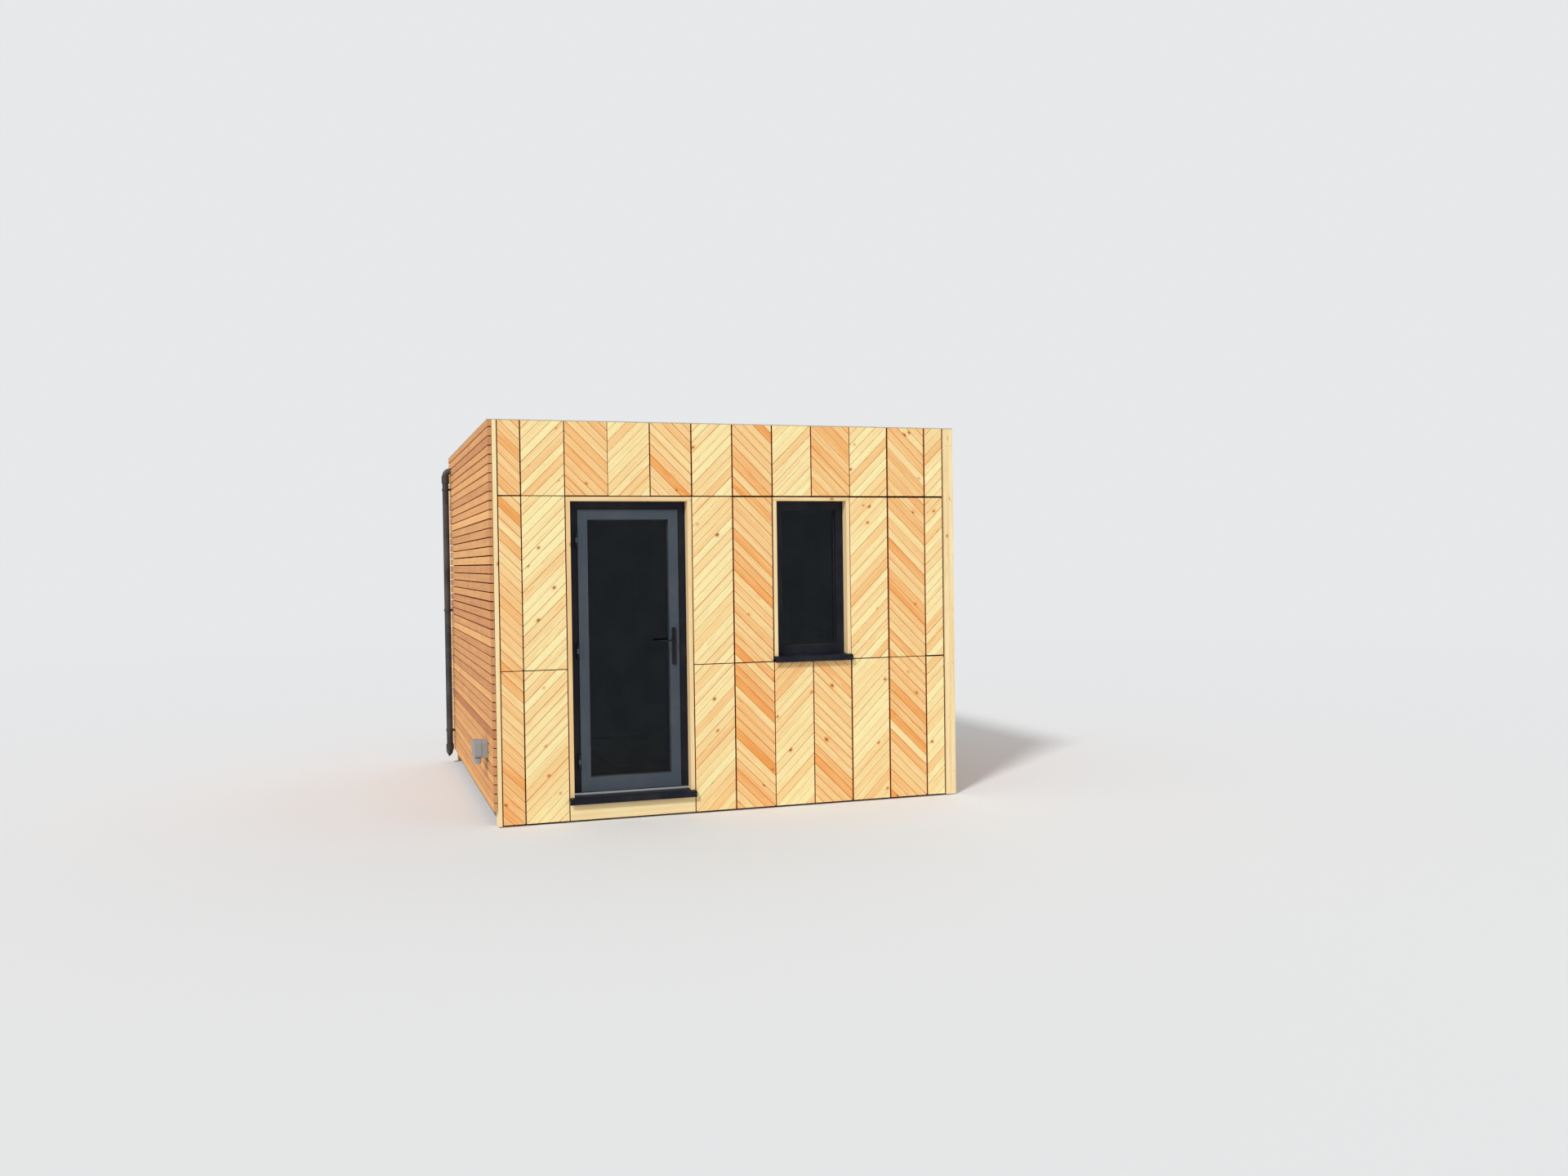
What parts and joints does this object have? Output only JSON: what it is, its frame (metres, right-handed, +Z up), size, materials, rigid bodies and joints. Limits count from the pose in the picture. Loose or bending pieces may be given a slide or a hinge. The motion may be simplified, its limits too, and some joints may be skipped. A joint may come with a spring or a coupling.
{
  "type": "garden office pod",
  "caption": "Flat-roofed timber garden room with a chevron-panelled front, slatted sides, a glazed outward-opening door and a tall narrow window.",
  "frame": {"origin": "on the ground, below the middle of the timber-framed box", "axes": "+X along the front from the door's side to the window's side, +Y from the front to the back, +Z up"},
  "size_m": [3.194, 3.131, 2.5],
  "materials": {
    "bearer_timber": "rough sawn",
    "sheathing": "sanded board",
    "floor_board": "oiled boards",
    "wall_panel": "painted lining",
    "membrane": "matt",
    "capping": "matt",
    "panel_timber": "planed softwood",
    "slat_timber": "sawn softwood",
    "trim_timber": "planed softwood",
    "grey_frame": "satin powder coat",
    "threshold_metal": "mill finish",
    "glass": "clear",
    "hinge_metal": "satin",
    "handle_metal": "satin black",
    "grey_plastic": "matt",
    "black_plastic": "satin"
  },
  "bodies": {
    "building": {"base_bearers": "bearer_timber", "floor_cassette": "sheathing", "floor_deck": "floor_board", "front_wall_left": "wall_panel", "front_wall_over_door": "wall_panel", "front_wall_middle": "wall_panel", "front_wall_window_bay": "wall_panel", "front_wall_right": "wall_panel", "left_wall": "wall_panel", "right_wall": "wall_panel", "back_wall": "wall_panel", "ceiling": "wall_panel", "roof_cassette": "sheathing", "roof_kerb": "sheathing", "roof_membrane": "membrane", "edge_capping": "capping", "battens": "bearer_timber", "front_panels_top": "panel_timber", "front_panels_middle": "panel_timber", "front_panels_bottom": "panel_timber", "left_cladding": "slat_timber", "right_cladding": "slat_timber", "back_cladding": "slat_timber", "front_corner_trims": "trim_timber", "right_corner_cover": "trim_timber", "back_corner_trims": "trim_timber", "door_lining": "trim_timber", "door_frame": "grey_frame", "door_threshold": "threshold_metal", "door_sill": "grey_frame", "door_plinth": "trim_timber", "hinge_frame_halves": "hinge_metal", "window_lining": "trim_timber", "window_frame": "grey_frame", "window_bead": "grey_frame", "window_glass": "glass", "window_sill": "grey_frame", "outdoor_socket": "grey_plastic", "roof_outlet": "black_plastic", "downpipe": "black_plastic", "pipe_clips": "black_plastic"},
    "door": {"door_leaf": "grey_frame", "door_glass": "glass", "door_bead": "grey_frame", "hinge_leaf_halves": "hinge_metal", "handle_plates": "handle_metal"},
    "lever": {"lever_handle": "handle_metal"}
  },
  "joints": [
    {"name": "door_hinge", "type": "hinge", "parent": "building", "child": "door", "pos_m": [-1.013, -1.496, 1.06275], "axis": [0, 0, -1], "range_deg": [0, 105]},
    {"name": "lever_turn", "type": "hinge", "parent": "door", "child": "lever", "pos_m": [-0.396, -1.46, 1.115], "axis": [0, -1, 0], "range_deg": [0, 45], "stiffness_Nm_per_rad": 1, "springref_deg": -34.38}
  ]
}
